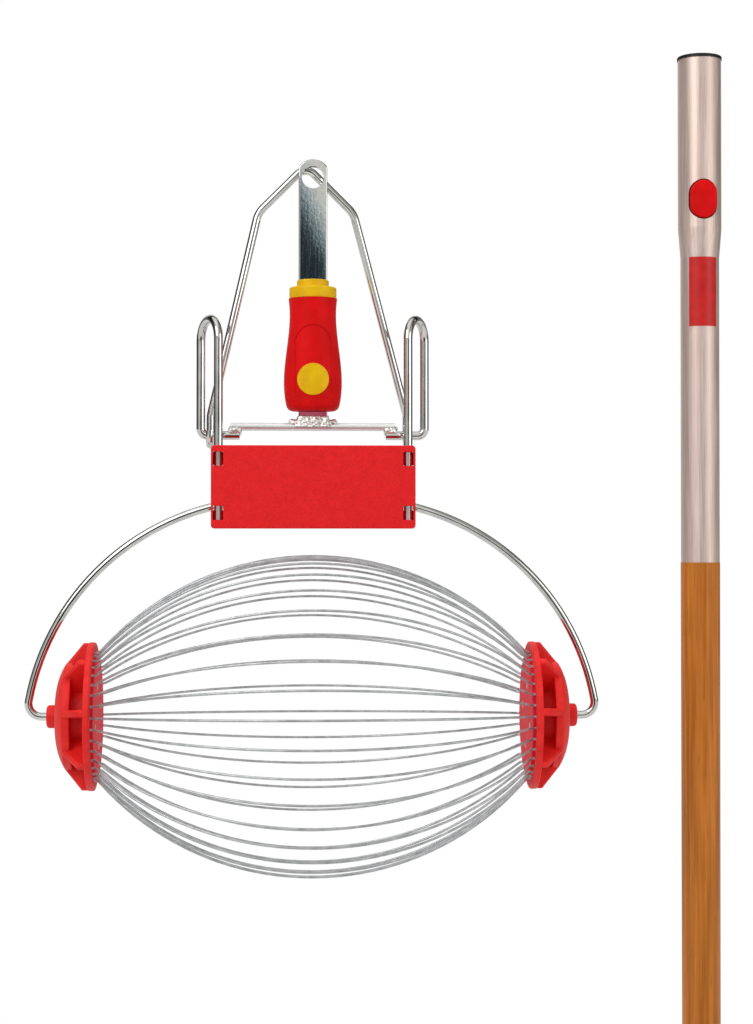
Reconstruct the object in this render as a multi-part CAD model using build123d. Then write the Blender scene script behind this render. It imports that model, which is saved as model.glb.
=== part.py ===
# Rolling fruit picker: a cage of spring wires rolls in a wire fork, with a grip, a plug-in tang and a pole.
# Millimetres. +Z points up along the grip, X runs along the roller's axle and the front faces -Y.
# The origin is the middle of the hole that the head hangs by, in the middle of the tang's thickness.
import os
from math import acos, atan, degrees, hypot, sin, sqrt

from build123d import *

os.makedirs("parts", exist_ok=True)

# Clearances, each on one side.
running_gap = 0.06
press_gap = 0.02
slip_gap = 0.15
stop_gap = 0.5
hook_gap = 0.4
weld_gap = 0.2

# Tang: a flat bar with a rounded tip.
tang_width = 20.0
tang_thick = 5.0
tang_tip_height = 12.8
tang_tip_rise = 5.3
tang_corner_round = 4.0
tang_edge_radius = 1.0
hang_hole_dia = 15.5
neck_length = 8.1

# Collar: a narrow step that enters the pole's mouth, and a wide part that stops on it.
collar_top_drop = 72.0
collar_step_dia = 22.4
collar_step_height = 5.2
collar_dia = 33.0
collar_height = 7.9
collar_round = 1.2

# Grip: round at the top, oval at its belly. Drops are measured from its top.
grip_length = 78.6
grip_top_dia = 34.0
grip_waist_dia = 33.0
grip_waist_drop = 19.0
grip_belly_width = 39.4
grip_belly_depth = 32.0
grip_belly_drop = 47.5
grip_foot_width = 35.0
grip_foot_depth = 27.0
grip_foot_round = 5.0
recess_width = 25.0
recess_top_drop = 19.5
recess_height = 51.0
recess_depth = 0.6
recess_rim_round = 0.3
badge_dia = 22.0
badge_thick = 0.5
badge_drop = 57.0

# Cross bar and side loops.
bar_dia = 5.5
loop_wire_dia = 6.2
leg_spacing = 130.2
loop_spread = 13.0
loop_depth = 26.0
loop_height = 79.8
loop_bend_radius = 5.0
loop_end_spacing = 102.0
bar_lap = 6.5
tang_weld_dia = 5.4
tang_weld_length = 34.0
heap_foot_width = 26.0
heap_foot_depth = 9.0
heap_top_width = 21.6
heap_top_depth = 6.6
heap_height = 4.8
heap_round = 2.8
bar_weld_dia = 7.4
bar_weld_length = 9.5
bead_round = 2.2

# Cover plate, clipped on the two legs.
plate_width = 140.0
plate_height = 57.0
plate_thick = 2.8
plate_drop = 8.2
plate_corner_radius = 2.5
plate_edge_round = 0.8
window_width = 7.0
window_height = 9.6
window_inset = 4.4
window_foot_inset = 6.0
clip_wall = 1.4
clip_height = 9.0
clip_mouth = 5.0
leg_inset = 3.6

# Fork.
fork_dia = 5.5
fork_drop = 37.0
fork_height = 148.6
fork_flat = 58.25
fork_arc_radius = 168.0
fork_bend_radius = 9.0
fork_weld_dia = 7.6

# End caps. Lengths run along the axle, outward from the rim's inner face.
cage_length = 298.0
rim_dia = 101.4
rim_width = 4.4
rim_wall = 3.0
rim_floor = 1.6
rim_edge_round = 1.0
core_dia = 48.0
core_length = 15.2
hub_cavity_dia = 38.0
hub_wall = 3.0
flange_dia = 73.0
flange_thick = 5.0
dome_height = 6.8
dome_top_dia = 24.0
dome_rise = 1.9
boss_dia = 15.8
boss_length = 6.6
boss_round = 2.0
rib_count = 8
rib_thick = 5.0
rib_flat = 4.0
rib_sink = 0.4
rib_round = 1.6
roller_turn = -7.0

# Inner discs, their screws and the clips on the fork's ends.
disc_thick = 2.0
disc_boss_dia = 83.0
disc_boss_height = 2.0
screw_count = 4
screw_circle_dia = 43.0
screw_dia = 2.9
screw_head_dia = 6.4
screw_head_height = 2.2
screw_post_dia = 8.0
screw_length = 14.0
axle_clip_dia = 18.0
axle_clip_thick = 2.0
fork_end_reach = 3.0

# Cage wires.
wire_count = 36
wire_dia = 1.7
wire_circle_dia = 87.4
cage_dia = 219.6
wire_bend_radius = 3.5
wire_bend_inset = 1.0
wire_first_angle = 4.0

# Emptying bail, hooked on the bottom wires of the loops.
bail_dia = 5.8
bail_hook_spacing = 137.5
bail_hook_lip = 3.0
bail_foot_height = 14.0
bail_shoulder_spacing = 67.0
bail_shoulder_drop = 24.0
bail_shoulder_radius = 18.0
bail_peak_height = 9.3
bail_bend_radius = 8.0
bail_side_play = 2.7
bail_lean = 2.2

# Pole. Depths are measured down from its mouth.
pole_offset = 288.0
pole_setback = 76.0
mouth_height = 105.0
pole_length = 1400.0
mouth_ring_dia = 33.0
mouth_ring_height = 2.5
sleeve_dia = 32.0
sleeve_wall = 1.2
sleeve_length = 375.0
sleeve_neck_dia = 28.5
sleeve_neck_depth = 128.0
sleeve_neck_length = 22.0
insert_end_wall = 2.0
socket_depth = 8.0
socket_gap = 0.3
slot_gap = 0.35
slot_end_gap = 1.6
shaft_top_depth = 150.0
shaft_shoulder_dia = 29.0
shaft_end_dia = 27.0
shaft_dome_height = 12.0
label_width = 20.0
label_height = 51.0
label_depth = 150.0
label_thick = 0.3
pin_heights = (35.0, 125.0)
pin_dia = 3.4
pin_head_dia = 6.4
pin_head_height = 0.9
pin_length = 10.0

# Release lever: a nose that catches the tang's hole, a pivot and a button.
nose_arm = 15.4
nose_size = 9.0
nose_bite = 2.0
button_arm = 15.0
button_width = 19.5
button_height = 28.0
button_rise = 1.6
button_thick = 6.5
button_round = 1.4
button_dish_radius = 26.0
button_dish_depth = 1.1
button_gap = 0.8
lever_width = 10.0
lever_thick = 3.2
lever_web = 9.0
lever_hub_dia = 6.8
lever_depth = 7.6
lever_gap = 0.5
lever_swing_room = 1.5
button_swing_room = 5.1
pivot_dia = 3.0
pivot_cover = 0.8
pivot_end_gap = 0.4
spring_dia = 6.0
spring_wire_dia = 0.7
spring_length = 11.0
spring_turns = 5
spring_offset = 3.0

# Heights and places that follow from the sizes.
collar_top_z = -collar_top_drop
collar_shoulder_z = collar_top_z - collar_step_height
grip_top_z = collar_shoulder_z - collar_height
grip_foot_z = grip_top_z - grip_length
tang_foot_z = grip_foot_z - neck_length
bar_z = tang_foot_z - bar_dia / 2
loop_bottom_z = bar_z - (bar_dia + loop_wire_dia) / 2 - weld_gap
leg_x = leg_spacing / 2
leg_y = -loop_depth
loop_outer_x = leg_x + loop_spread
loop_end_x = loop_end_spacing / 2
bar_half = loop_end_x + bar_lap
plate_top_z = loop_bottom_z - plate_drop
plate_bottom_z = plate_top_z - plate_height
plate_back_y = leg_y - loop_wire_dia / 2
leg_foot_z = plate_bottom_z + leg_inset
fork_top_z = plate_top_z - fork_drop
fork_y = leg_y + (loop_wire_dia + fork_dia) / 2 + weld_gap
axle_z = fork_top_z - fork_height
rim_face = cage_length / 2
rim_back = rim_face + rim_width
cup_floor = rim_back - rim_floor
flange_face = rim_back + core_length
dome_face = flange_face + dome_height
boss_face = dome_face + boss_length
cavity_face = flange_face - hub_wall
disc_back = rim_face + disc_thick
disc_face = rim_face - disc_boss_height
screw_end = disc_face + screw_length
axle_clip_face = cavity_face - stop_gap
fork_end = axle_clip_face - axle_clip_thick - fork_end_reach
catch_depth = -collar_shoulder_z
pivot_depth = catch_depth + nose_arm
button_depth = pivot_depth + button_arm
slot_depth = catch_depth + tang_tip_height + slot_end_gap
insert_end = sleeve_neck_depth - insert_end_wall
sleeve_bore = sleeve_dia / 2 - sleeve_wall
neck_bore = sleeve_neck_dia / 2 - sleeve_wall
neck_end_depth = sleeve_neck_depth + sleeve_neck_length
pin_depths = [sleeve_length - height for height in pin_heights]
socket_radius = collar_step_dia / 2 + socket_gap
slot_half = tang_thick / 2 + slot_gap
button_top_y = -sleeve_dia / 2 - button_rise
button_under_y = button_top_y + button_thick
spring_depth = button_depth + spring_offset
axle_place = Pos(0, fork_y, axle_z)
roller_place = axle_place * Rot(roller_turn, 0, 0)
pole_place = Pos(pole_offset, pole_setback, mouth_height)


def bar_x(start, end, radius):
    """Round bar along X."""
    return Pos((start + end) / 2, 0, 0) * Rot(0, 90, 0) * Cylinder(radius, end - start)


def bar_y(start, end, radius):
    """Round bar along Y."""
    return Pos(0, (start + end) / 2, 0) * Rot(90, 0, 0) * Cylinder(radius, end - start)


def block(x, y, z):
    """Box given by its limits along each axis."""
    size = Box(x[1] - x[0], y[1] - y[0], z[1] - z[0])
    return Pos(sum(x) / 2, sum(y) / 2, sum(z) / 2) * size


def bead_x(length, radius):
    """Weld bead along X with round ends."""
    bead = bar_x(-length / 2, length / 2, radius)
    return fillet(bead.edges().filter_by(GeomType.CIRCLE), bead_round)


def wire_along(path, radius):
    """Round wire that follows a path."""
    return sweep(Plane(origin=path @ 0, z_dir=path % 0) * Circle(radius), path=path)


def planar_path(start, heading, steps):
    """Path in the XZ plane. A step is a straight run (length, 0) or a bend (radius, degrees to the left)."""
    edges = []
    point, direction = Vector(*start), Vector(*heading)
    for size, turn in steps:
        edge = JernArc(point, direction, size, turn) if turn else Line(point, point + direction * size)
        edges.append(edge)
        point, direction = edge @ 1, edge % 1
    return Plane.XZ * Wire(edges)


def mirrored(shape):
    """The same piece on the left."""
    return mirror(shape, about=Plane.YZ)


def both_sides(shape):
    """Right and left piece in one node."""
    return Compound(shape.solids() + mirrored(shape).solids())


def around_axle(shape, count, first_angle):
    """Copies of a solid, evenly spaced round the X axis."""
    return [Rot(first_angle + 360 / count * i, 0, 0) * shape for i in range(count)]


def make_tang():
    half = tang_width / 2
    corner_z = tang_tip_height - tang_tip_rise
    sides = Polyline((-half, corner_z), (-half, tang_foot_z), (half, tang_foot_z), (half, corner_z))
    tip = ThreePointArc((half, corner_z), (0, tang_tip_height), (-half, corner_z))
    outline = make_face(sides + tip)
    outline = fillet(outline.vertices().group_by(Axis.Y)[-1], tang_corner_round)
    tang = extrude(Plane.XZ * outline, amount=tang_thick / 2, both=True)
    rims = tang.faces().sort_by(Axis.Y)[0].edges() + tang.faces().sort_by(Axis.Y)[-1].edges()
    tang = fillet(rims, tang_edge_radius)
    return tang - bar_y(-tang_thick, tang_thick, hang_hole_dia / 2)


def tang_slot(z_low, z_high):
    """The hole that the tang fills in the grip and the collar."""
    return block((-tang_width / 2, tang_width / 2), (-tang_thick / 2, tang_thick / 2), (z_low, z_high))


def make_collar():
    wide = Pos(0, 0, grip_top_z) * Cylinder(
        collar_dia / 2, collar_height, align=(Align.CENTER, Align.CENTER, Align.MIN)
    )
    wide = fillet(wide.edges().group_by(Axis.Z)[-1], collar_round)
    step = Pos(0, 0, collar_shoulder_z) * Cylinder(
        collar_step_dia / 2, collar_step_height, align=(Align.CENTER, Align.CENTER, Align.MIN)
    )
    step = fillet(step.edges().group_by(Axis.Z)[-1], collar_round)
    return wide + step - tang_slot(grip_top_z, collar_top_z)


def grip_body(inset):
    """The grip's outer form, drawn in by an inset."""
    sections = [
        (grip_top_z, grip_top_dia, grip_top_dia),
        (grip_top_z - grip_waist_drop, grip_waist_dia, grip_waist_dia),
        (grip_top_z - grip_belly_drop, grip_belly_width, grip_belly_depth),
        (grip_foot_z, grip_foot_width, grip_foot_depth),
    ]
    ovals = [Pos(0, 0, z) * Ellipse(width / 2 - inset, depth / 2 - inset) for z, width, depth in sections]
    return loft(ovals)


def make_grip():
    """Grip with an arched recess in front, as deep all over, its rim rounded."""
    grip = grip_body(0)
    grip = fillet(grip.edges().group_by(Axis.Z)[0], grip_foot_round)
    arch_radius = recess_width / 2
    arch_top = grip_top_z - recess_top_drop - arch_radius
    arch_bottom = grip_top_z - recess_top_drop - recess_height
    arch = Pos(0, (arch_top + arch_bottom) / 2) * RectangleRounded(
        recess_width, arch_top - arch_bottom, arch_radius / 2
    )
    arch += Pos(0, arch_top) * Circle(arch_radius)
    arch += Pos(0, arch_top - arch_radius / 2) * Rectangle(recess_width, arch_radius)
    recess = extrude(Plane.XZ * arch, amount=grip_belly_depth) - grip_body(recess_depth)
    hollowed = grip - recess
    rim = new_edges(grip, recess, combined=hollowed)
    return fillet(rim, recess_rim_round) - tang_slot(grip_foot_z, grip_top_z)


def make_badge():
    """Round inlay that follows the floor of the recess."""
    badge = Pos(0, 0, grip_top_z - badge_drop) * bar_y(-grip_belly_depth, 0, badge_dia / 2)
    return (badge & grip_body(recess_depth - badge_thick)) - grip_body(recess_depth)


def make_cross_bar():
    return Pos(0, 0, bar_z) * bar_x(-bar_half, bar_half, bar_dia / 2)


def make_side_loop():
    """Right side loop: leg, U-turn to the back, outer wire and the bottom wire that the bail hangs on."""
    turn_radius = hypot(loop_spread, loop_depth) / 2
    turn_z = loop_bottom_z + loop_height - turn_radius
    bend_x = loop_outer_x - loop_bend_radius
    bend_z = loop_bottom_z + loop_bend_radius
    diagonal = loop_bend_radius * sqrt(0.5)
    leg = Line((leg_x, leg_y, leg_foot_z), (leg_x, leg_y, turn_z))
    turn_top = (leg_x + loop_spread / 2, leg_y + loop_depth / 2, turn_z + turn_radius)
    turn = ThreePointArc((leg_x, leg_y, turn_z), turn_top, (loop_outer_x, 0, turn_z))
    outer = Line((loop_outer_x, 0, turn_z), (loop_outer_x, 0, bend_z))
    bend_middle = (bend_x + diagonal, 0, bend_z - diagonal)
    bend = ThreePointArc((loop_outer_x, 0, bend_z), bend_middle, (bend_x, 0, loop_bottom_z))
    bottom = Line((bend_x, 0, loop_bottom_z), (loop_end_x, 0, loop_bottom_z))
    return wire_along(Wire([leg, turn, outer, bend, bottom]), loop_wire_dia / 2)


def make_tang_weld(tang, cross_bar):
    """Thin bead along the cross bar, with weld metal heaped up round the tang's foot."""
    bead = Pos(0, 0, tang_foot_z) * bead_x(tang_weld_length, tang_weld_dia / 2)
    foot = RectangleRounded(heap_foot_width, heap_foot_depth, heap_round)
    top = RectangleRounded(heap_top_width, heap_top_depth, heap_round)
    heap = loft([Pos(0, 0, bar_z) * foot, Pos(0, 0, tang_foot_z + heap_height) * top])
    return bead + heap - tang - cross_bar


def make_bar_weld(cross_bar):
    """Bead round the lap of the cross bar and the right loop's bottom wire."""
    middle_x = loop_end_x + bar_lap / 2
    bead = Pos(middle_x, 0, bar_z - bar_dia / 2) * bead_x(bar_weld_length, bar_weld_dia / 2)
    bottom_wire = Pos(0, 0, loop_bottom_z) * bar_x(loop_end_x, leg_x, loop_wire_dia / 2)
    return bead - cross_bar - bottom_wire


def make_cover_plate():
    middle_z = (plate_top_z + plate_bottom_z) / 2
    outline = Pos(0, middle_z) * RectangleRounded(plate_width, plate_height, plate_corner_radius)
    plate = extrude(Plane.XZ.offset(-plate_back_y) * outline, amount=plate_thick)
    plate = fillet(plate.faces().sort_by(Axis.Y)[0].edges(), plate_edge_round)
    clip_half = loop_wire_dia / 2 + slip_gap + clip_wall
    clip_back = leg_y + loop_wire_dia / 2 - clip_wall / 2
    window_tops = (plate_top_z - window_inset, plate_bottom_z + window_foot_inset + window_height)
    clip_tops = (plate_top_z - window_inset, leg_foot_z + clip_height)
    for side in (-leg_x, leg_x):
        for top in clip_tops:
            clip_x = (side - clip_half, side + clip_half)
            plate += block(clip_x, (plate_back_y, clip_back), (top - clip_height, top))
        for top in window_tops:
            plate -= block(
                (side - window_width / 2, side + window_width / 2),
                (plate_back_y - plate_thick, leg_y),
                (top - window_height, top),
            )
        channel = Cylinder(loop_wire_dia / 2 + slip_gap, 2 * plate_height)
        plate -= Pos(side, leg_y, middle_z) * channel
        mouth_x = (side - clip_mouth / 2, side + clip_mouth / 2)
        plate -= block(mouth_x, (leg_y, clip_back), (plate_bottom_z, plate_top_z))
    return plate


def make_fork():
    sweep = acos((fork_arc_radius + fork_bend_radius - fork_height) / (fork_arc_radius - fork_bend_radius))
    sweep_angle = degrees(sweep)
    bend_x = fork_flat / 2 + (fork_arc_radius - fork_bend_radius) * sin(sweep)
    half = [(bend_x - fork_end, 0), (fork_bend_radius, sweep_angle - 180), (fork_arc_radius, -sweep_angle)]
    path = planar_path((-fork_end, axle_z), (-1, 0), half + [(fork_flat, 0)] + half[::-1])
    return Pos(0, fork_y, 0) * wire_along(path, fork_dia / 2)


def make_fork_weld(side_loop, fork):
    """Bead where the right leg crosses the fork behind the plate."""
    reach = leg_x - fork_flat / 2
    cross_z = fork_top_z - fork_arc_radius + sqrt(fork_arc_radius**2 - reach**2)
    bead = Pos(leg_x, leg_y + loop_wire_dia / 2, cross_z) * Sphere(fork_weld_dia / 2)
    return bead - side_loop - fork


def make_axle_clip():
    """Push-on clip that keeps the right cap on the fork's end."""
    clip = bar_x(axle_clip_face - axle_clip_thick, axle_clip_face, axle_clip_dia / 2)
    return axle_place * (clip - bar_x(fork_end, axle_clip_face, fork_dia / 2 + press_gap))


def make_dome():
    flange_back = flange_face - flange_thick
    outline = Polyline(
        (dome_face, dome_top_dia / 2),
        (dome_face, 0),
        (flange_back, 0),
        (flange_back, flange_dia / 2),
        (flange_face, flange_dia / 2),
    )
    crown = SagittaArc((flange_face, flange_dia / 2), (dome_face, dome_top_dia / 2), dome_rise)
    return revolve(Plane.XZ * make_face(outline + crown), Axis.X)


def make_rib():
    """Rib from the flange to the rim, with a rounded crest."""
    root = (hub_cavity_dia + core_dia) / 4
    top = rim_dia / 2 - rib_sink
    outline = Polygon(
        (cup_floor, root),
        (cup_floor, top),
        (rim_back + rib_flat, top),
        (flange_face, flange_dia / 2),
        (flange_face, root),
        align=None,
    )
    rib = extrude(Plane.XZ * outline, amount=rib_thick / 2, both=True)
    lengthwise = rib.edges().filter_by(Axis.Y, reverse=True)
    crests = lengthwise.filter_by_position(Axis.Z, flange_dia / 2, rim_dia / 2)
    return fillet(crests, rib_round)


def make_end_cap():
    """Right end cap: a cup for the wire ends, ribs, a domed hub and the bearing bore."""
    cap = bar_x(rim_face, rim_back, rim_dia / 2)
    cap = fillet(cap.edges().filter_by(GeomType.CIRCLE), rim_edge_round)
    cap += bar_x(rim_back, flange_face, core_dia / 2)
    cap += make_dome()
    boss = bar_x(dome_face, boss_face, boss_dia / 2)
    cap += fillet(boss.edges().group_by(Axis.X)[-1], boss_round)
    cap += around_axle(make_rib(), rib_count, 0)
    cap -= bar_x(rim_face, cup_floor, rim_dia / 2 - rim_wall)
    post = bar_x(disc_back, rim_back, screw_post_dia / 2)
    pilot = bar_x(disc_back, screw_end + stop_gap, screw_dia / 2 + press_gap)
    cap += around_axle(Pos(0, 0, screw_circle_dia / 2) * post, screw_count, 180 / rib_count)
    cap -= around_axle(Pos(0, 0, screw_circle_dia / 2) * pilot, screw_count, 180 / rib_count)
    cap -= bar_x(cup_floor, cavity_face, hub_cavity_dia / 2)
    cap -= bar_x(cavity_face, boss_face, fork_dia / 2 + running_gap)
    return roller_place * cap


def make_wire_disc():
    """Right inner disc, with a hole for each wire and a stepped hole for each screw."""
    disc = bar_x(rim_face, disc_back, rim_dia / 2 - rim_wall - slip_gap)
    boss = bar_x(disc_face, rim_face, disc_boss_dia / 2)
    disc += fillet(boss.edges().group_by(Axis.X)[0], rim_edge_round)
    wire_hole = bar_x(rim_face, disc_back, wire_dia / 2 + running_gap)
    screw_hole = bar_x(disc_face, disc_back, screw_dia / 2 + slip_gap)
    disc -= around_axle(Pos(0, 0, wire_circle_dia / 2) * wire_hole, wire_count, wire_first_angle)
    screw_hole += bar_x(disc_face, disc_face + screw_head_height, screw_head_dia / 2 + slip_gap)
    disc -= around_axle(Pos(0, 0, screw_circle_dia / 2) * screw_hole, screw_count, 180 / rib_count)
    return roller_place * disc


def make_disc_screws():
    """Right inner disc's screws, with their heads sunk in it."""
    head = bar_x(disc_face, disc_face + screw_head_height, screw_head_dia / 2)
    head = fillet(head.edges().group_by(Axis.X)[0], screw_head_height / 2)
    screw = head + bar_x(disc_face + screw_head_height, screw_end, screw_dia / 2)
    screws = around_axle(Pos(0, 0, screw_circle_dia / 2) * screw, screw_count, 180 / rib_count)
    return roller_place * Compound(screws)


def make_cage_wires():
    """Spring wires from disc to disc, each with straight ends, two bends and one long bow."""
    bow_end = rim_face - wire_bend_inset
    rise = (cage_dia - wire_circle_dia) / 2
    bow_angle = 2 * atan(rise / bow_end)
    bow_radius = bow_end / sin(bow_angle) - wire_bend_radius
    stub_end = cup_floor - stop_gap
    end = [(stub_end - bow_end, 0), (wire_bend_radius, degrees(bow_angle))]
    bow = [(bow_radius, -2 * degrees(bow_angle))]
    path = planar_path((-stub_end, wire_circle_dia / 2), (1, 0), end + bow + end[::-1])
    wire = wire_along(path, wire_dia / 2)
    return roller_place * Compound(around_axle(wire, wire_count, wire_first_angle))


def make_emptying_bail():
    """Pointed wire bail. Its ends hook under the loops' bottom wires from behind."""
    hook_radius = (loop_wire_dia + bail_dia) / 2 + hook_gap
    hook_x = bail_hook_spacing / 2
    shoulder_x = bail_shoulder_spacing / 2
    foot_z = loop_bottom_z + bail_foot_height
    corners = [
        (-hook_x, loop_bottom_z),
        (-hook_x, foot_z),
        (-shoulder_x - bail_lean, -bail_shoulder_drop),
        (-bail_lean, bail_peak_height),
        (shoulder_x - bail_lean, -bail_shoulder_drop),
        (hook_x, foot_z),
        (hook_x, loop_bottom_z),
    ]
    bend, shoulder = bail_bend_radius, bail_shoulder_radius
    outline = FilletPolyline(*corners, radius=[bend, shoulder, bend, shoulder, bend])
    frame = Plane.XZ.offset(-hook_radius) * outline
    hooks = []
    for x in (-hook_x, hook_x):
        front = (x, -hook_radius, loop_bottom_z)
        under = (x, 0, loop_bottom_z - hook_radius)
        hooks.append(Line((x, -hook_radius, loop_bottom_z + bail_hook_lip), front))
        hooks.append(ThreePointArc(front, under, (x, hook_radius, loop_bottom_z)))
    path = Wire.combine(frame.edges() + hooks)[0]
    return Pos(-bail_side_play, 0, 0) * wire_along(path, bail_dia / 2)


def pole_block(x, y, depth):
    """Box in the pole's own frame, given by its limits across, front to back and down from the mouth."""
    return block(x, y, (-depth[1], -depth[0]))


def pole_cylinder(radius, depth):
    """Cylinder on the pole's axis between two depths."""
    return Pos(0, 0, -sum(depth) / 2) * Cylinder(radius, depth[1] - depth[0])


def button_outline(gap):
    """Upright oblong of the button, as seen from the front."""
    slot = SlotOverall(button_height + 2 * gap, button_width + 2 * gap, rotation=90)
    return Plane.XZ * Pos(0, -button_depth) * slot


def make_mouth_ring():
    ring = pole_cylinder(mouth_ring_dia / 2, (0, mouth_ring_height))
    ring = fillet(ring.edges().group_by(Axis.Z)[-1], mouth_ring_height / 3)
    return pole_place * (ring - pole_cylinder(socket_radius, (0, mouth_ring_height)))


def make_sleeve():
    """Thin tube, wide over the socket and necked down on the shaft, with a window for the button."""
    wide, neck = sleeve_dia / 2, sleeve_neck_dia / 2
    outline = Polyline(
        (wide, -mouth_ring_height),
        (wide, -sleeve_neck_depth),
        (neck, -neck_end_depth),
        (neck, -sleeve_length),
        (neck_bore, -sleeve_length),
        (neck_bore, -neck_end_depth),
        (sleeve_bore, -sleeve_neck_depth),
        (sleeve_bore, -mouth_ring_height),
        close=True,
    )
    sleeve = revolve(Plane.XZ * make_face(outline), Axis.Z)
    sleeve -= extrude(button_outline(button_gap), amount=sleeve_dia)
    for depth in pin_depths:
        sleeve -= Pos(0, 0, -depth) * bar_y(0, sleeve_dia, pin_dia / 2 + press_gap)
    return pole_place * sleeve


def make_socket_insert():
    """Plastic core of the sleeve: a mouth, a slot for the tang and pockets for lever, button and spring."""
    insert = pole_cylinder(sleeve_bore - press_gap, (mouth_ring_height, insert_end))
    insert -= pole_cylinder(socket_radius, (mouth_ring_height, socket_depth))
    slot_x = tang_width / 2 + slot_gap
    insert -= pole_block((-slot_x, slot_x), (-slot_half, slot_half), (socket_depth, slot_depth))
    arm_x = lever_width / 2 + lever_gap
    arm_top = catch_depth - nose_size / 2 - lever_swing_room
    nose_end = catch_depth + nose_size / 2 + lever_gap
    arm_end = pivot_depth + lever_web + lever_swing_room
    arm_floor = lever_hub_dia / 2 + lever_gap - lever_depth
    insert -= pole_block((-arm_x, arm_x), (-sleeve_dia, arm_floor), (arm_top, arm_end))
    insert -= pole_block((-arm_x, arm_x), (arm_floor, 0), (arm_top, nose_end))
    button_x = button_width / 2 + button_gap
    button_start = button_depth - button_height / 2 - button_gap
    button_end = button_depth + button_height / 2 + button_gap + lever_swing_room
    near_floor = -lever_depth - pivot_dia / 2 - pivot_cover
    far_start = pivot_depth + pivot_dia + lever_swing_room
    insert -= pole_block((-button_x, button_x), (-sleeve_dia, near_floor), (button_start, button_end))
    far_floor = button_under_y + button_swing_room
    insert -= pole_block((-button_x, button_x), (near_floor, far_floor), (far_start, button_end))
    spring_seat = button_under_y + spring_length
    spring_hole = bar_y(far_floor, spring_seat, spring_dia / 2 + spring_wire_dia)
    insert -= Pos(0, 0, -spring_depth) * spring_hole
    pivot_hole = bar_x(-sleeve_dia, sleeve_dia, pivot_dia / 2 + press_gap)
    return pole_place * (insert - Pos(0, -lever_depth, -pivot_depth) * pivot_hole)


def make_release_lever():
    """Rocker in one piece: the nose above the pivot catches the tang, the button below it lets go."""
    button = extrude(button_outline(0), amount=-button_top_y)
    button -= extrude(button_outline(0), amount=-button_under_y)
    button = fillet(button.faces().sort_by(Axis.Y)[0].edges(), button_round)
    dish_y = button_top_y + button_dish_depth - button_dish_radius
    button -= Pos(0, dish_y, -button_depth) * Sphere(button_dish_radius)
    half = lever_width / 2
    back = lever_thick / 2 - lever_depth
    front = back - lever_thick
    nose_top = catch_depth - nose_size / 2
    nose_tip = nose_bite - slot_half
    lever = pole_block((-half, half), (front, back), (nose_top, pivot_depth))
    nose_half = nose_size / 2
    nose = pole_block((-nose_half, nose_half), (back, nose_tip), (nose_top, nose_top + nose_size))
    lever += chamfer(nose.edges().group_by(Axis.Y)[-1], nose_bite / 2)
    lever += Pos(0, -lever_depth, -pivot_depth) * bar_x(-half, half, lever_hub_dia / 2)
    web_end = pivot_depth + lever_web
    lever += pole_block((-half, half), (button_under_y - lever_gap, back), (pivot_depth, web_end))
    bore = bar_x(-half, half, pivot_dia / 2 + running_gap)
    return pole_place * (lever + button - Pos(0, -lever_depth, -pivot_depth) * bore)


def make_pivot_pin():
    half = sqrt(sleeve_bore**2 - (lever_depth + pivot_dia / 2) ** 2) - pivot_end_gap
    return pole_place * Pos(0, -lever_depth, -pivot_depth) * bar_x(-half, half, pivot_dia / 2)


def make_button_spring():
    coil_height = spring_length - spring_wire_dia
    coil = Helix(coil_height / spring_turns, coil_height, (spring_dia - spring_wire_dia) / 2)
    spring = Rot(-90, 0, 0) * wire_along(coil, spring_wire_dia / 2)
    return pole_place * Pos(0, button_under_y + spring_wire_dia / 2, -spring_depth) * spring


def make_shaft():
    """Turned wood: a spigot in the sleeve, a shoulder under it, a slight taper and a domed end."""
    spigot, shoulder, end = neck_bore - press_gap, shaft_shoulder_dia / 2, shaft_end_dia / 2
    dome_depth = pole_length - shaft_dome_height
    outline = Polyline(
        (0, -pole_length),
        (0, -shaft_top_depth),
        (spigot, -shaft_top_depth),
        (spigot, -sleeve_length),
        (shoulder, -sleeve_length),
        (end, -dome_depth),
    )
    dome_radius = (end**2 + shaft_dome_height**2) / (2 * shaft_dome_height)
    dome = RadiusArc((end, -dome_depth), (0, -pole_length), dome_radius)
    shaft = revolve(Plane.XZ * make_face(outline + dome), Axis.Z)
    for depth in pin_depths:
        nail_hole = bar_y(sleeve_neck_dia / 2 - pin_length, sleeve_dia, pin_dia / 2 + press_gap)
        shaft -= Pos(0, 0, -depth) * nail_hole
    return pole_place * shaft


def make_sleeve_pins():
    """Nails from the back that hold the sleeve on the shaft."""
    surface = sleeve_neck_dia / 2
    pins = []
    for depth in pin_depths:
        head = bar_y(0, surface + pin_head_height, pin_head_dia / 2) - Cylinder(surface, pin_head_dia)
        pin = head + bar_y(surface - pin_length, surface + pin_head_height / 2, pin_dia / 2)
        pins += (pole_place * Pos(0, 0, -depth) * pin).solids()
    return Compound(pins)


def make_label_patch():
    surface = sleeve_neck_dia / 2
    depth = (label_depth, label_depth + label_height)
    patch = pole_cylinder(surface + label_thick, depth) - pole_cylinder(surface, depth)
    return pole_place * (patch & pole_block((-label_width / 2, label_width / 2), (-sleeve_dia, 0), depth))


tang = make_tang()
cross_bar = make_cross_bar()
side_loop = make_side_loop()
fork = make_fork()
end_cap = make_end_cap()
wire_disc = make_wire_disc()
axle_clip = make_axle_clip()

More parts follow.
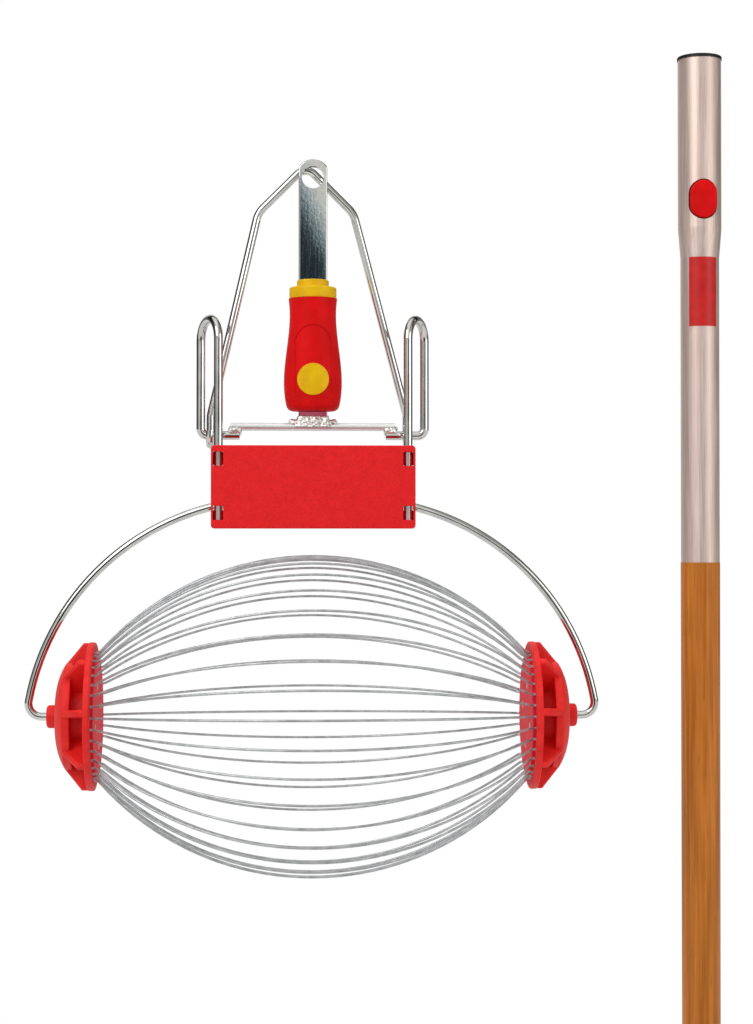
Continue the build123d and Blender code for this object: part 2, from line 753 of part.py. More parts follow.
export_step(tang, "parts/tang.step")
export_step(make_collar(), "parts/grip_collar.step")
export_step(make_grip(), "parts/grip.step")
export_step(make_badge(), "parts/grip_badge.step")
export_step(cross_bar, "parts/cross_bar.step")
export_step(make_tang_weld(tang, cross_bar), "parts/tang_weld.step")
export_step(side_loop, "parts/right_side_loop.step")
export_step(mirrored(side_loop), "parts/left_side_loop.step")
export_step(both_sides(make_bar_weld(cross_bar)), "parts/bar_welds.step")
export_step(make_cover_plate(), "parts/cover_plate.step")
export_step(fork, "parts/fork.step")
export_step(both_sides(make_fork_weld(side_loop, fork)), "parts/fork_welds.step")
export_step(axle_clip, "parts/right_axle_clip.step")
export_step(mirrored(axle_clip), "parts/left_axle_clip.step")
export_step(end_cap, "parts/right_end_cap.step")
export_step(mirrored(end_cap), "parts/left_end_cap.step")
export_step(wire_disc, "parts/right_wire_disc.step")
export_step(mirrored(wire_disc), "parts/left_wire_disc.step")
export_step(both_sides(make_disc_screws()), "parts/disc_screws.step")
export_step(make_cage_wires(), "parts/cage_wires.step")
export_step(make_emptying_bail(), "parts/emptying_bail.step")
export_step(make_shaft(), "parts/pole_shaft.step")
export_step(make_sleeve(), "parts/pole_sleeve.step")
export_step(make_mouth_ring(), "parts/mouth_ring.step")
export_step(make_socket_insert(), "parts/socket_insert.step")
export_step(make_sleeve_pins(), "parts/sleeve_pins.step")
export_step(make_label_patch(), "parts/label_patch.step")
export_step(make_pivot_pin(), "parts/lever_pivot_pin.step")
export_step(make_release_lever(), "parts/release_lever.step")
export_step(make_button_spring(), "parts/button_spring.step")
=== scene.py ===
import math

import bpy
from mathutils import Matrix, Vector


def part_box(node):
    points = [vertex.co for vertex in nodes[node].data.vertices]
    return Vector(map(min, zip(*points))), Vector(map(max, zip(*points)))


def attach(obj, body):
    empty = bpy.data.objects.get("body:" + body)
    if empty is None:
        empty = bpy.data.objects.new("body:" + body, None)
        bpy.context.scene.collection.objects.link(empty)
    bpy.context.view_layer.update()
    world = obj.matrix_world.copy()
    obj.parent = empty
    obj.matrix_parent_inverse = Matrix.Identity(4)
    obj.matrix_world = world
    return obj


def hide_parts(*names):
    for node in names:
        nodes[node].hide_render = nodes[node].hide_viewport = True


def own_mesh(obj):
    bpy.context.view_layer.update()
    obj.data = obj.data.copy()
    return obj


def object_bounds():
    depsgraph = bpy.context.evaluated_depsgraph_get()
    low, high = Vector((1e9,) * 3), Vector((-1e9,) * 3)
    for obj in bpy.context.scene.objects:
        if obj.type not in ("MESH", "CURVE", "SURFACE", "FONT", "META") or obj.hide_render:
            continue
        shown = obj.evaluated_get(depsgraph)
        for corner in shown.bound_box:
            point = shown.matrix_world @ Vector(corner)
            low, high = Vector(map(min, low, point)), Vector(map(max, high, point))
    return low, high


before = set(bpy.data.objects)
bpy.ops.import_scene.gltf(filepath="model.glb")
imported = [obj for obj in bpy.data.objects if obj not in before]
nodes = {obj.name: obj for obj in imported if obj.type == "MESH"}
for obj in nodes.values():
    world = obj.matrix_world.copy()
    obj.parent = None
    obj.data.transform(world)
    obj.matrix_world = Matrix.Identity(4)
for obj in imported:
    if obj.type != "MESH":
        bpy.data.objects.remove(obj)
cad_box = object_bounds()

# The view: straight on to the head from the height of the cover plate, turned a little towards the pole.
camera_distance = 1.44
camera_side = -0.020
camera_height = -0.255
camera_focal_px = 2089.7
camera_yaw = math.radians(2.531)
camera_pitch = math.radians(0.825)
image_long_side_px = 1024
sensor_mm = 36.0

# Light on the object. A surface that faces the camera renders about as bright as its colour is written.
ambient_level = 0.60
lamp_target = (0.0, 0.0, -0.25)
# Soft boxes: name, place, width in metres, watts, and whether mirrors show them.
lamps = (
    ("key_box", (-1.1, -1.5, 0.9), 1.2, 18.0, True),
    ("fill_box", (1.5, -1.2, 0.2), 1.0, 6.0, True),
    ("top_box", (0.0, 0.2, 1.3), 1.0, 9.0, False),
)

# The floor keeps the object's shadow near the pole's foot and is plain white further out.
floor_half = 15.0
floor_paint = "#f4f4f3"
shadow_radius = 0.7
white_radius = 1.9

# Mirrors see a pale floor with a dark strip on the lens side. It starts and is full this far ahead in metres,
# and half its width, to the core and to the edge, is a share of the distance ahead.
mirror_floor = "#e4e4e1"
mirror_dark = "#17191b"
strip_start = 2.2
strip_full = 2.9
strip_core = 0.30
strip_edge = 0.42

# Mirrors see a room, given by the direction of the ray as a vector of length 1.
# Its tone from the lens side to the back, and by how much a lamp overhead reaches further back.
room_depth = [
    (0.0, "#ffffff"), (0.36, "#f0f0ee"), (0.44, "#868684"),
    (0.58, "#3c3c3c"), (0.78, "#3c3c3c"), (0.88, "#e0e0e0"),
]
overhead_start = 0.70
overhead_full = 0.86
overhead_reach = -0.6
# Its tone from left to right.
room_sides = [
    (0.2, "#b9b5b2"), (0.26, "#ffffff"), (0.62, "#ffffff"),
    (0.66, "#a6a7a2"), (0.86, "#a6a7a2"), (0.92, "#f4f4f2"),
]
# In front, between the lamps, it has a dark gap with a pale strip low down and a slanting lamp edge above.
gap_core = 0.26
gap_edge = 0.36
gap_full = -0.7
gap_start = -0.6
slant_half_width = 0.03
slant_half_rise = 0.063
gap_foot = -0.06
gap_head = 0.26
gap_tones = [
    (0.0, "#17191b"), (0.18, "#1f2123"), (0.30, "#d8dcdc"), (0.50, "#d8dcdc"), (0.555, "#242c30"),
    (0.724, "#2b373e"), (0.744, "#5c7078"), (0.758, "#96a9b2"), (0.777, "#bccbd0"), (0.807, "#eceae4"),
]

# Weld beads: how wide and how high their lumps are, and the mesh that carries them, in metres.
weld_lump_width = 0.0028
weld_lump_height = 0.0014
weld_mesh_size = 0.0004

# Painted reflection of the red plastic: the tang is tinted mauve below the grip's foot. The tint fades out
# over this height above it, in metres.
reflection_fade = 0.004

# Most of the values of a noise texture lie in this span.
noise_span = {"From Min": 0.3, "From Max": 0.7}


def colour(code):
    """Linear colour of an sRGB hex value."""
    channels = [int(code[i:i + 2], 16) / 255 for i in (1, 3, 5)]
    linear = [c / 12.92 if c <= 0.04045 else ((c + 0.055) / 1.055) ** 2.4 for c in channels]
    return (*linear, 1.0)


def per_mm(size):
    """Texture scale that makes one cell of a pattern this many millimetres wide."""
    return 1000.0 / size


def add(tree, kind, inputs=None, stops=(), **settings):
    """Adds a node. An input is a plain value, a socket to link, or a node whose first output is linked.

    The stops of a colour ramp are pairs of a place and an sRGB hex value.
    """
    node = tree.nodes.new("ShaderNode" + kind)
    for name, value in settings.items():
        setattr(node, name, value)
    for i, (position, code) in enumerate(stops):
        ramp = node.color_ramp.elements
        element = ramp[i] if i < len(ramp) else ramp.new(position)
        element.position = position
        element.color = colour(code)
    for name, value in (inputs or {}).items():
        if isinstance(value, bpy.types.Node):
            value = value.outputs[0]
        if isinstance(value, bpy.types.NodeSocket):
            tree.links.new(value, node.inputs[name])
        else:
            node.inputs[name].default_value = value
    return node


def start_material(name):
    """New empty material, its node tree and the frame's own coordinates in metres."""
    material = bpy.data.materials.new(name)
    material.use_nodes = True
    tree = material.node_tree
    tree.nodes.clear()
    return material, tree, add(tree, "TexCoord").outputs["Object"]


def moulded_red_polypropylene():
    """Polypropylene from a spark-eroded tool: deep red, satin, a faint pebble, slow shades, soft edges."""
    material, tree, place = start_material("moulded_red_polypropylene")
    flow = add(tree, "TexNoise", {"Vector": place, "Scale": per_mm(16), "Detail": 3.0})
    share = add(tree, "MapRange", {"Value": flow, **noise_span})
    shade = add(tree, "MixRGB", {"Fac": share, "Color1": colour("#c90608"), "Color2": colour("#df0a0e")})
    # The real pebble is about 0.3 mm, drawn coarser here so that it shows.
    pebble = add(tree, "TexNoise", {"Vector": place, "Scale": per_mm(1.1), "Detail": 3.0})
    sheen = add(tree, "MapRange", {"Value": pebble, **noise_span, "To Min": 0.42, "To Max": 0.56})
    edge = add(tree, "Bevel", {"Radius": 0.0018})
    relief = add(tree, "Bump", {"Height": pebble, "Distance": 0.00006, "Strength": 0.4, "Normal": edge})
    skin = add(tree, "BsdfPrincipled", {
        "Base Color": shade, "Roughness": sheen, "Normal": relief, "Specular IOR Level": 0.10,
    })
    add(tree, "OutputMaterial", {"Surface": skin})
    return material


def moulded_red_polyethylene():
    """Polyethylene from a plain tool: a lighter, waxy red with soft edges and cloudy flow shades."""
    material, tree, place = start_material("moulded_red_polyethylene")
    flow = add(tree, "TexNoise", {"Vector": place, "Scale": per_mm(9), "Detail": 4.0, "Roughness": 0.6})
    share = add(tree, "MapRange", {"Value": flow, **noise_span})
    shade = add(tree, "MixRGB", {"Fac": share, "Color1": colour("#d91a17"), "Color2": colour("#ee2a26")})
    sheen = add(tree, "MapRange", {"Value": flow, **noise_span, "To Min": 0.44, "To Max": 0.56})
    edge = add(tree, "Bevel", {"Radius": 0.0012})
    skin = add(tree, "BsdfPrincipled", {
        "Base Color": shade, "Roughness": sheen, "Normal": edge, "Specular IOR Level": 0.25,
        "Subsurface Weight": 0.15, "Subsurface Radius": (0.002, 0.0003, 0.0002), "Subsurface Scale": 1.0,
    })
    add(tree, "OutputMaterial", {"Surface": skin})
    return material


def moulded_crimson_polyamide():
    """Polyamide from a plain tool: a dull, bluish red, a shade paler where the wires have rubbed it."""
    material, tree, place = start_material("moulded_crimson_polyamide")
    rubbed = add(tree, "TexNoise", {"Vector": place, "Scale": per_mm(4), "Detail": 4.0, "Roughness": 0.6})
    share = add(tree, "MapRange", {"Value": rubbed, **noise_span})
    shade = add(tree, "MixRGB", {"Fac": share, "Color1": colour("#d4182a"), "Color2": colour("#e82838")})
    sheen = add(tree, "MapRange", {"Value": rubbed, **noise_span, "To Min": 0.50, "To Max": 0.62})
    edge = add(tree, "Bevel", {"Radius": 0.0008})
    skin = add(tree, "BsdfPrincipled", {
        "Base Color": shade, "Roughness": sheen, "Normal": edge, "Specular IOR Level": 0.15,
    })
    add(tree, "OutputMaterial", {"Surface": skin})
    return material


def grained_red_abs():
    """ABS moulded against an etched leather grain: small round pebbles with fine valleys between them in
    painted shade.
    """
    material, tree, place = start_material("grained_red_abs")
    # The real grain is about 0.8 mm wide, drawn coarser here so that it shows.
    pebble = add(
        tree, "TexVoronoi", {"Vector": place, "Scale": per_mm(1.5), "Smoothness": 0.7}, feature="SMOOTH_F1",
    )
    flow = add(tree, "TexNoise", {"Vector": place, "Scale": per_mm(5), "Detail": 4.0, "Roughness": 0.6})
    share = add(tree, "MapRange", {"Value": flow, **noise_span})
    shade = add(tree, "MixRGB", {"Fac": share, "Color1": colour("#e01014"), "Color2": colour("#e8181c")})
    # Painted shade: the valleys between the pebbles are drawn darker.
    valley = add(tree, "MapRange", {"Value": pebble, "From Min": 0.35, "From Max": 0.75, "To Max": 0.3})
    painted_valley_shade = add(tree, "MixRGB", {"Fac": valley, "Color1": shade, "Color2": colour("#b80a0e")})
    sheen = add(tree, "MapRange", {"Value": pebble, "From Max": 0.8, "To Min": 0.36, "To Max": 0.60})
    edge = add(tree, "Bevel", {"Radius": 0.0006})
    relief = add(
        tree, "Bump", {"Height": pebble, "Distance": 0.0002, "Strength": 0.4, "Normal": edge}, invert=True,
    )
    skin = add(tree, "BsdfPrincipled", {
        "Base Color": painted_valley_shade, "Roughness": sheen, "Normal": relief, "Specular IOR Level": 0.25,
    })
    add(tree, "OutputMaterial", {"Surface": skin})
    return material


def moulded_yellow_polypropylene():
    """Polypropylene from a finely textured tool: warm yellow with a soft gloss."""
    material, tree, place = start_material("moulded_yellow_polypropylene")
    flow = add(tree, "TexNoise", {"Vector": place, "Scale": per_mm(9), "Detail": 3.0})
    share = add(tree, "MapRange", {"Value": flow, **noise_span})
    shade = add(tree, "MixRGB", {"Fac": share, "Color1": colour("#d6a404"), "Color2": colour("#eabc0c")})
    # The real texture is finer than 0.5 mm, drawn coarser here so that it shows.
    pebble = add(tree, "TexNoise", {"Vector": place, "Scale": per_mm(0.9), "Detail": 2.0})
    sheen = add(tree, "MapRange", {"Value": pebble, **noise_span, "To Min": 0.28, "To Max": 0.42})
    edge = add(tree, "Bevel", {"Radius": 0.0005})
    relief = add(tree, "Bump", {"Height": pebble, "Distance": 0.00004, "Strength": 0.3, "Normal": edge})
    skin = add(tree, "BsdfPrincipled", {
        "Base Color": shade, "Roughness": sheen, "Normal": relief, "Specular IOR Level": 0.14,
    })
    add(tree, "OutputMaterial", {"Surface": skin})
    return material


def moulded_black_polyamide():
    """Glass-filled polyamide: near black, dull, with a fine speckle of fibres at the skin."""
    material, tree, place = start_material("moulded_black_polyamide")
    # Real fibres are mostly shorter than 0.5 mm, drawn coarser here so that they show.
    fibres = add(tree, "TexNoise", {"Vector": place, "Scale": per_mm(0.8), "Detail": 4.0})
    share = add(tree, "MapRange", {"Value": fibres, **noise_span})
    shade = add(tree, "MixRGB", {"Fac": share, "Color1": colour("#0b0a09"), "Color2": colour("#232120")})
    sheen = add(tree, "MapRange", {"Value": fibres, **noise_span, "To Min": 0.38, "To Max": 0.58})
    relief = add(tree, "Bump", {"Height": fibres, "Distance": 0.00005, "Strength": 0.4})
    skin = add(tree, "BsdfPrincipled", {
        "Base Color": shade, "Roughness": sheen, "Normal": relief, "Specular IOR Level": 0.3,
    })
    add(tree, "OutputMaterial", {"Surface": skin})
    return material


def bright_zinc_plate():
    """Rolled steel bar with bright zinc: a speckled mirror, faint rolling lines, a painted mauve reflection
    by the weld.
    """
    material, tree, place = start_material("bright_zinc_plate")
    along = add(tree, "Mapping", {"Vector": place, "Scale": (1.0, 1.0, 0.05)})
    # Real rolling lines are finer than 0.2 mm, drawn coarser here so that they show.
    lines = add(tree, "TexNoise", {"Vector": along, "Scale": per_mm(1.2), "Detail": 3.0})
    speckle = add(tree, "TexNoise", {"Vector": place, "Scale": per_mm(1.8), "Detail": 2.0, "Roughness": 0.5})
    share = add(tree, "MapRange", {"Value": speckle, **noise_span})
    shade = add(tree, "MixRGB", {"Fac": share, "Color1": colour("#c4c8c8"), "Color2": colour("#d9d9d5")})
    # Painted reflection: below the grip's foot the tang is tinted mauve to stand for the red plastic it
    # mirrors.
    grip_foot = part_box("grip")[0].z
    height = add(tree, "SeparateXYZ", {"Vector": place}).outputs["Z"]
    reflection_share = add(tree, "MapRange", {"Value": height, "From Min": grip_foot + reflection_fade, "From Max": grip_foot})
    painted_reflection = add(tree, "MixRGB", {"Fac": reflection_share, "Color1": shade, "Color2": colour("#c25a70")})
    sheen = add(tree, "MapRange", {"Value": lines, **noise_span, "To Min": 0.02, "To Max": 0.05})
    rolled = add(tree, "Bump", {"Height": lines, "Distance": 0.000002, "Strength": 0.6})
    relief = add(tree, "Bump", {"Height": speckle, "Distance": 0.000005, "Strength": 0.8, "Normal": rolled})
    skin = add(tree, "BsdfPrincipled", {
        "Base Color": painted_reflection, "Metallic": 1.0, "Roughness": sheen, "Normal": relief,
    })
    add(tree, "OutputMaterial", {"Surface": skin})
    return material


def bright_chrome_wire():
    """Drawn steel wire, nickelled and chromed: hard streaks of light and dark along it and a slight haze."""
    material, tree, place = start_material("bright_chrome_wire")
    haze = add(tree, "TexNoise", {"Vector": place, "Scale": per_mm(11), "Detail": 3.0})
    share = add(tree, "MapRange", {"Value": haze, **noise_span})
    shade = add(tree, "MixRGB", {"Fac": share, "Color1": colour("#cbcbc8"), "Color2": colour("#e4e4e2")})
    sheen = add(tree, "MapRange", {"Value": haze, **noise_span, "To Min": 0.03, "To Max": 0.09})
    skin = add(tree, "BsdfPrincipled", {"Base Color": shade, "Metallic": 1.0, "Roughness": sheen})
    add(tree, "OutputMaterial", {"Surface": skin})
    return material


def hazed_chrome_bar():
    """Drawn steel bar, chromed and clouded by welding heat: a milky haze over a mirror, faint lines."""
    material, tree, place = start_material("hazed_chrome_bar")
    along = add(tree, "Mapping", {"Vector": place, "Scale": (0.05, 1.0, 1.0)})
    # Real drawing lines are finer than 0.2 mm, drawn coarser here so that they show.
    lines = add(tree, "TexNoise", {"Vector": along, "Scale": per_mm(1.0), "Detail": 3.0})
    share = add(tree, "MapRange", {"Value": lines, **noise_span})
    shade = add(tree, "MixRGB", {"Fac": share, "Color1": colour("#e6eaea"), "Color2": colour("#f6faf9")})
    sheen = add(tree, "MapRange", {"Value": lines, **noise_span, "To Min": 0.05, "To Max": 0.10})
    skin = add(tree, "BsdfPrincipled", {"Base Color": shade, "Metallic": 0.5, "Roughness": sheen})
    add(tree, "OutputMaterial", {"Surface": skin})
    return material


def zinc_spring_wire():
    """Hard-drawn spring steel with a thin zinc coat: grey, half bright, with paler rubbed patches."""
    material, tree, place = start_material("zinc_spring_wire")
    patches = add(tree, "TexNoise", {"Vector": place, "Scale": per_mm(7), "Detail": 4.0})
    share = add(tree, "MapRange", {"Value": patches, **noise_span})
    shade = add(tree, "MixRGB", {"Fac": share, "Color1": colour("#a0a2a4"), "Color2": colour("#c8cacc")})
    sheen = add(tree, "MapRange", {"Value": patches, **noise_span, "To Min": 0.32, "To Max": 0.44})
    skin = add(tree, "BsdfPrincipled", {"Base Color": shade, "Metallic": 0.6, "Roughness": sheen})
    add(tree, "OutputMaterial", {"Surface": skin})
    return material


def plated_weld_metal():
    """Weld bead, plated over with the rest: bright lumps, dull grey where slag sat between them."""
    material, tree, place = start_material("plated_weld_metal")
    slag = add(tree, "TexNoise", {"Vector": place, "Scale": per_mm(1.6), "Detail": 4.0, "Roughness": 0.6})
    share = add(tree, "MapRange", {"Value": slag, "From Min": 0.34, "From Max": 0.48})
    shade = add(tree, "MixRGB", {"Fac": share, "Color1": colour("#8f8b85"), "Color2": colour("#f4f3f0")})
    sheen = add(tree, "MapRange", {"Value": slag, **noise_span, "To Min": 0.55, "To Max": 0.34})
    relief = add(tree, "Bump", {"Height": slag, "Distance": 0.00015, "Strength": 0.5})
    skin = add(tree, "BsdfPrincipled", {
        "Base Color": shade, "Metallic": 1.0, "Roughness": sheen, "Normal": relief,
    })
    add(tree, "OutputMaterial", {"Surface": skin})
    return material


def zinc_plated_fastener():
    """Small turned and stamped steel parts, zinc plated: grey with a faint warm cast."""
    material, tree, place = start_material("zinc_plated_fastener")
    patches = add(tree, "TexNoise", {"Vector": place, "Scale": per_mm(1.5), "Detail": 3.0})
    share = add(tree, "MapRange", {"Value": patches, **noise_span})
    shade = add(tree, "MixRGB", {"Fac": share, "Color1": colour("#a19f97"), "Color2": colour("#c9c7bf")})
    sheen = add(tree, "MapRange", {"Value": patches, **noise_span, "To Min": 0.22, "To Max": 0.38})
    skin = add(tree, "BsdfPrincipled", {"Base Color": shade, "Metallic": 1.0, "Roughness": sheen})
    add(tree, "OutputMaterial", {"Surface": skin})
    return material


def champagne_anodised_aluminium():
    """Drawn aluminium tube, etched and anodised champagne: a soft sheen with fine lines along the tube."""
    material, tree, place = start_material("champagne_anodised_aluminium")
    along = add(tree, "Mapping", {"Vector": place, "Scale": (1.0, 1.0, 0.02)})
    # Real drawing lines are finer than 0.2 mm, drawn coarser here so that they show.
    lines = add(tree, "TexNoise", {"Vector": along, "Scale": per_mm(1.0), "Detail": 3.0})
    share = add(tree, "MapRange", {"Value": lines, **noise_span})
    shade = add(tree, "MixRGB", {"Fac": share, "Color1": colour("#c9b1a6"), "Color2": colour("#e2cfc6")})
    sheen = add(tree, "MapRange", {"Value": lines, **noise_span, "To Min": 0.38, "To Max": 0.50})
    relief = add(tree, "Bump", {"Height": lines, "Distance": 0.00002, "Strength": 0.3})
    skin = add(tree, "BsdfPrincipled", {
        "Base Color": shade, "Metallic": 0.65, "Roughness": sheen, "Normal": relief,
    })
    add(tree, "OutputMaterial", {"Surface": skin})
    return material


def lacquered_ash():
    """Turned ash under clear lacquer: orange brown, long pores along the shaft and faint bands across it."""
    material, tree, place = start_material("lacquered_ash")
    along = add(tree, "Mapping", {"Vector": place, "Scale": (1.0, 1.0, 0.03)})
    grain = add(tree, "TexNoise", {"Vector": along, "Scale": per_mm(3.0), "Detail": 6.0})
    pores = add(tree, "TexNoise", {"Vector": along, "Scale": per_mm(0.9), "Detail": 3.0})
    across = add(tree, "Mapping", {"Vector": place, "Scale": (0.25, 0.25, 1.0)})
    bands = add(tree, "TexNoise", {"Vector": across, "Scale": per_mm(26), "Detail": 3.0})
    share = add(tree, "MapRange", {"Value": grain, **noise_span})
    wood = add(tree, "MixRGB", {"Fac": share, "Color1": colour("#9c5410"), "Color2": colour("#d4812e")})
    figure = add(tree, "MapRange", {"Value": bands, **noise_span, "To Max": 0.45})
    shade = add(tree, "MixRGB", {"Fac": figure, "Color1": wood, "Color2": colour("#b06820")})
    dark_pore = add(tree, "MapRange", {"Value": pores, "From Min": 0.62, "From Max": 0.72, "To Max": 0.45})
    porous = add(tree, "MixRGB", {"Fac": dark_pore, "Color1": shade, "Color2": colour("#6e3a0c")})
    sheen = add(tree, "MapRange", {"Value": pores, **noise_span, "To Min": 0.32, "To Max": 0.50})
    relief = add(tree, "Bump", {"Height": pores, "Distance": 0.00005, "Strength": 0.4}, invert=True)
    skin = add(tree, "BsdfPrincipled", {
        "Base Color": porous, "Roughness": sheen, "Normal": relief, "Specular IOR Level": 0.2,
        "Coat Weight": 0.15, "Coat Roughness": 0.14,
    })
    add(tree, "OutputMaterial", {"Surface": skin})
    return material


def red_vinyl_film():
    """Vinyl film under a clear varnish: flat red with a thin even gloss."""
    material, tree, place = start_material("red_vinyl_film")
    ink = add(tree, "TexNoise", {"Vector": place, "Scale": per_mm(8), "Detail": 2.0})
    share = add(tree, "MapRange", {"Value": ink, **noise_span})
    shade = add(tree, "MixRGB", {"Fac": share, "Color1": colour("#b80d0a"), "Color2": colour("#cb1612")})
    sheen = add(tree, "MapRange", {"Value": ink, **noise_span, "To Min": 0.36, "To Max": 0.48})
    skin = add(tree, "BsdfPrincipled", {
        "Base Color": shade, "Roughness": sheen, "Specular IOR Level": 0.3, "Coat Weight": 0.08,
    })
    add(tree, "OutputMaterial", {"Surface": skin})
    return material


finishes = {
    moulded_red_polypropylene: ("grip", "release_lever"),
    moulded_red_polyethylene: ("left_end_cap", "right_end_cap"),
    moulded_crimson_polyamide: ("left_wire_disc", "right_wire_disc"),
    grained_red_abs: ("cover_plate",),
    moulded_yellow_polypropylene: ("grip_collar", "grip_badge"),
    moulded_black_polyamide: ("mouth_ring", "socket_insert"),
    bright_zinc_plate: ("tang",),
    bright_chrome_wire: ("left_side_loop", "right_side_loop", "fork", "emptying_bail"),
    hazed_chrome_bar: ("cross_bar",),
    zinc_spring_wire: ("cage_wires",),
    plated_weld_metal: ("tang_weld", "bar_welds", "fork_welds"),
    zinc_plated_fastener: (
        "left_axle_clip", "right_axle_clip", "disc_screws", "sleeve_pins", "lever_pivot_pin", "button_spring",
    ),
    champagne_anodised_aluminium: ("pole_sleeve",),
    lacquered_ash: ("pole_shaft",),
    red_vinyl_film: ("label_patch",),
}


def dress_nodes():
    """Gives each CAD node its finish."""
    for make_finish, members in finishes.items():
        material = make_finish()
        for name in members:
            nodes[name].material_slots[0].material = material


def lump_welds():
    """Makes the plain weld beads lumpy, as melted steel is."""
    lumps = bpy.data.textures.new("weld_lumps", "CLOUDS")
    lumps.noise_scale = weld_lump_width
    lumps.noise_depth = 2
    for name in finishes[plated_weld_metal]:
        remesh = nodes[name].modifiers.new("bead_mesh", "REMESH")
        remesh.mode = "VOXEL"
        remesh.voxel_size = weld_mesh_size
        remesh.use_smooth_shade = True
        melt = nodes[name].modifiers.new("bead_lumps", "DISPLACE")
        melt.texture = lumps
        melt.texture_coords = "LOCAL"
        melt.strength = weld_lump_height


def press_spring():
    """The button's coil as a piece of its own on the pole, in place of the CAD spring."""
    coil = bpy.data.objects.new("button_coil", nodes["button_spring"].data.copy())
    bpy.context.scene.collection.objects.link(coil)
    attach(coil, "pole")
    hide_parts("button_spring")
    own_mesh(coil)


def seen_directly(tree, path):
    """1 where the ray comes from the camera, straight or through a clear piece, and 0 where it doesn't."""
    return add(tree, "Math", {0: path["Is Camera Ray"], 1: path["Is Transmission Ray"]}, operation="MAXIMUM")


def make_floor():
    """Pale floor at the pole's foot. Close in it takes the shadow, further out the eye sees plain white."""
    level = cad_box[0].z
    mesh = bpy.data.meshes.new("floor")
    corners = [(x * floor_half, y * floor_half, level) for x, y in ((-1, -1), (1, -1), (1, 1), (-1, 1))]
    mesh.from_pydata(corners, [], [(0, 1, 2, 3)])
    floor = bpy.data.objects.new("floor", mesh)
    bpy.context.scene.collection.objects.link(floor)
    material, tree, place = start_material("pale_floor")
    paint = add(tree, "BsdfPrincipled", {
        "Base Color": colour(floor_paint), "Roughness": 0.7, "Specular IOR Level": 0.1,
    })
    flat = add(tree, "Mapping", {"Vector": place, "Scale": (1.0, 1.0, 0.0)})
    reach = add(tree, "VectorMath", {0: flat}, operation="LENGTH").outputs["Value"]
    fade = add(
        tree, "MapRange", {"Value": reach, "From Min": shadow_radius, "From Max": white_radius},
        interpolation_type="SMOOTHSTEP",
    )
    path = add(tree, "LightPath").outputs
    mirrored = path["Is Glossy Ray"]
    seen = add(tree, "Math", {0: seen_directly(tree, path), 1: mirrored}, operation="MAXIMUM")
    share = add(tree, "Math", {0: fade, 1: seen}, operation="MULTIPLY")
    spot = add(tree, "SeparateXYZ", {"Vector": place}).outputs
    ahead = add(tree, "Math", {0: spot["Y"], 1: -1.0}, operation="MULTIPLY")
    aside = add(tree, "Math", {0: spot["X"]}, operation="ABSOLUTE")
    spread = add(tree, "Math", {0: aside, 1: ahead}, operation="DIVIDE")
    between = add(tree, "MapRange", {"Value": spread, "From Min": strip_edge, "From Max": strip_core})
    beyond = add(tree, "MapRange", {"Value": ahead, "From Min": strip_start, "From Max": strip_full})
    strip = add(tree, "Math", {0: between, 1: beyond}, operation="MULTIPLY")
    mirror_tone = add(tree, "MixRGB", {
        "Fac": strip, "Color1": colour(mirror_floor), "Color2": colour(mirror_dark),
    })
    tone = add(tree, "MixRGB", {"Fac": mirrored, "Color1": colour("#ffffff"), "Color2": mirror_tone})
    white = add(tree, "Emission", {"Color": tone, "Strength": 1.0})
    mixed = add(tree, "MixShader", {0: share, 1: paint, 2: white})
    add(tree, "OutputMaterial", {"Surface": mixed})
    mesh.materials.append(material)


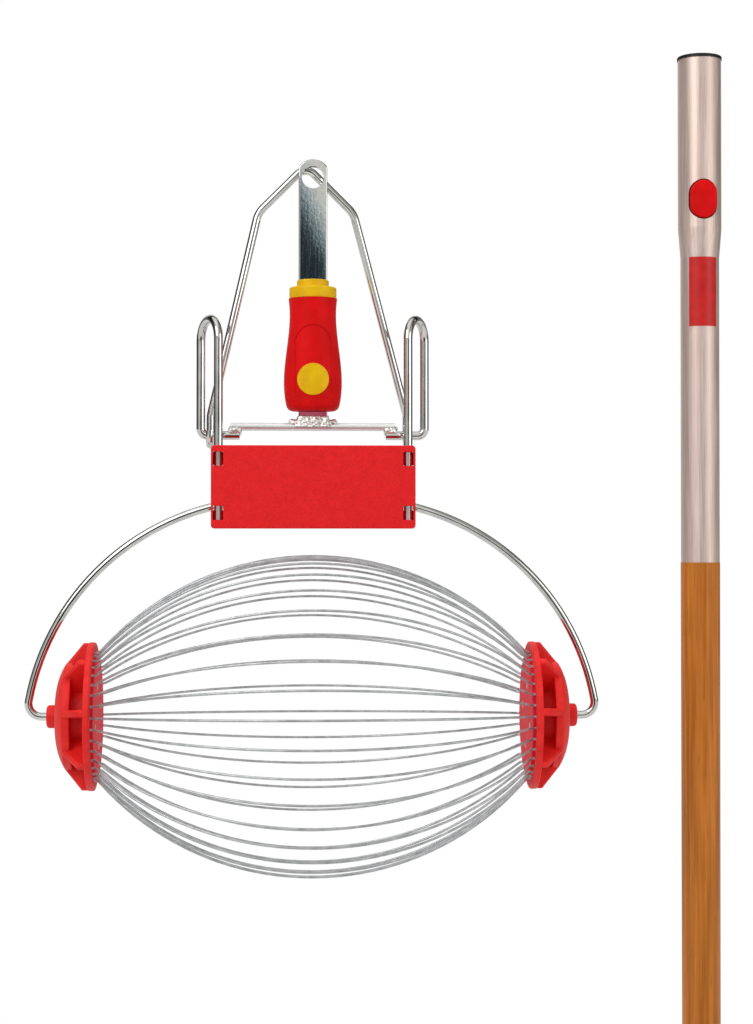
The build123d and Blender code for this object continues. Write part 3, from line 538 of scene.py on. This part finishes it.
def make_room():
    """White backdrop for the eye, even light for the object, and a studio with dark gaps for mirrors."""
    world = bpy.data.worlds.new("studio")
    bpy.context.scene.world = world
    world.use_nodes = True
    tree = world.node_tree
    tree.nodes.clear()
    heading = add(tree, "SeparateXYZ", {"Vector": add(tree, "TexCoord").outputs["Generated"]}).outputs
    overhead = add(tree, "MapRange", {
        "Value": heading["Z"], "From Min": overhead_start, "From Max": overhead_full,
        "To Max": overhead_reach,
    })
    reach = add(tree, "Math", {0: heading["Y"], 1: overhead}, operation="ADD")
    backward = add(tree, "MapRange", {"Value": reach, "From Min": -1.0, "From Max": 1.0})
    depth = add(tree, "ValToRGB", {"Fac": backward}, stops=room_depth)
    rightward = add(tree, "MapRange", {"Value": heading["X"], "From Min": -1.0, "From Max": 1.0})
    sides = add(tree, "ValToRGB", {"Fac": rightward}, stops=room_sides)
    walls = add(tree, "MixRGB", {"Fac": 1.0, "Color1": depth, "Color2": sides}, blend_type="MULTIPLY")
    offside = add(tree, "Math", {0: heading["X"]}, operation="ABSOLUTE")
    between = add(
        tree, "MapRange", {"Value": offside, "From Min": gap_edge, "From Max": gap_core},
        interpolation_type="SMOOTHSTEP",
    )
    ahead = add(tree, "MapRange", {"Value": heading["Y"], "From Min": gap_start, "From Max": gap_full})
    in_gap = add(tree, "Math", {0: between, 1: ahead}, operation="MULTIPLY")
    slant = add(tree, "MapRange", {
        "Value": heading["X"], "From Min": -slant_half_width, "From Max": slant_half_width,
        "To Min": -slant_half_rise, "To Max": slant_half_rise,
    })
    lift = add(tree, "Math", {0: heading["Z"], 1: slant}, operation="ADD")
    climb = add(tree, "MapRange", {"Value": lift, "From Min": gap_foot, "From Max": gap_head})
    gap = add(tree, "ValToRGB", {"Fac": climb}, stops=gap_tones)
    mirror_room = add(tree, "MixRGB", {"Fac": in_gap, "Color1": walls, "Color2": gap})
    for_light = add(tree, "Background", {"Color": colour("#ffffff"), "Strength": ambient_level})
    for_mirrors = add(tree, "Background", {"Color": mirror_room, "Strength": 1.0})
    for_eye = add(tree, "Background", {"Color": colour("#ffffff"), "Strength": 1.0})
    path = add(tree, "LightPath").outputs
    lit = add(tree, "MixShader", {0: path["Is Glossy Ray"], 1: for_light, 2: for_mirrors})
    shown = add(tree, "MixShader", {0: seen_directly(tree, path), 1: lit, 2: for_eye})
    add(tree, "OutputWorld", {"Surface": shown})


def make_lamps():
    """Square soft boxes that face the head."""
    for name, place, width, watts, in_mirrors in lamps:
        lamp = bpy.data.lights.new(name, "AREA")
        lamp.size = width
        lamp.energy = watts
        holder = bpy.data.objects.new(name, lamp)
        holder.location = place
        holder.rotation_euler = (Vector(lamp_target) - Vector(place)).to_track_quat("-Z", "Y").to_euler()
        holder.visible_camera = False
        holder.visible_glossy = in_mirrors
        bpy.context.scene.collection.objects.link(holder)


def make_camera():
    """Camera at the photograph's viewing angle."""
    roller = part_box("cage_wires")
    axis_y = (roller[0].y + roller[1].y) / 2
    camera = bpy.data.cameras.new("camera")
    camera.sensor_width = sensor_mm
    camera.lens = camera_focal_px * sensor_mm / image_long_side_px
    holder = bpy.data.objects.new("camera", camera)
    holder.location = (camera_side, axis_y - camera_distance, camera_height)
    holder.rotation_euler = (math.radians(90) + camera_pitch, 0.0, -camera_yaw)
    bpy.context.scene.collection.objects.link(holder)
    bpy.context.scene.camera = holder


dress_nodes()
lump_welds()
press_spring()
make_floor()
make_room()
make_lamps()
make_camera()
bpy.context.scene.view_settings.view_transform = "Standard"
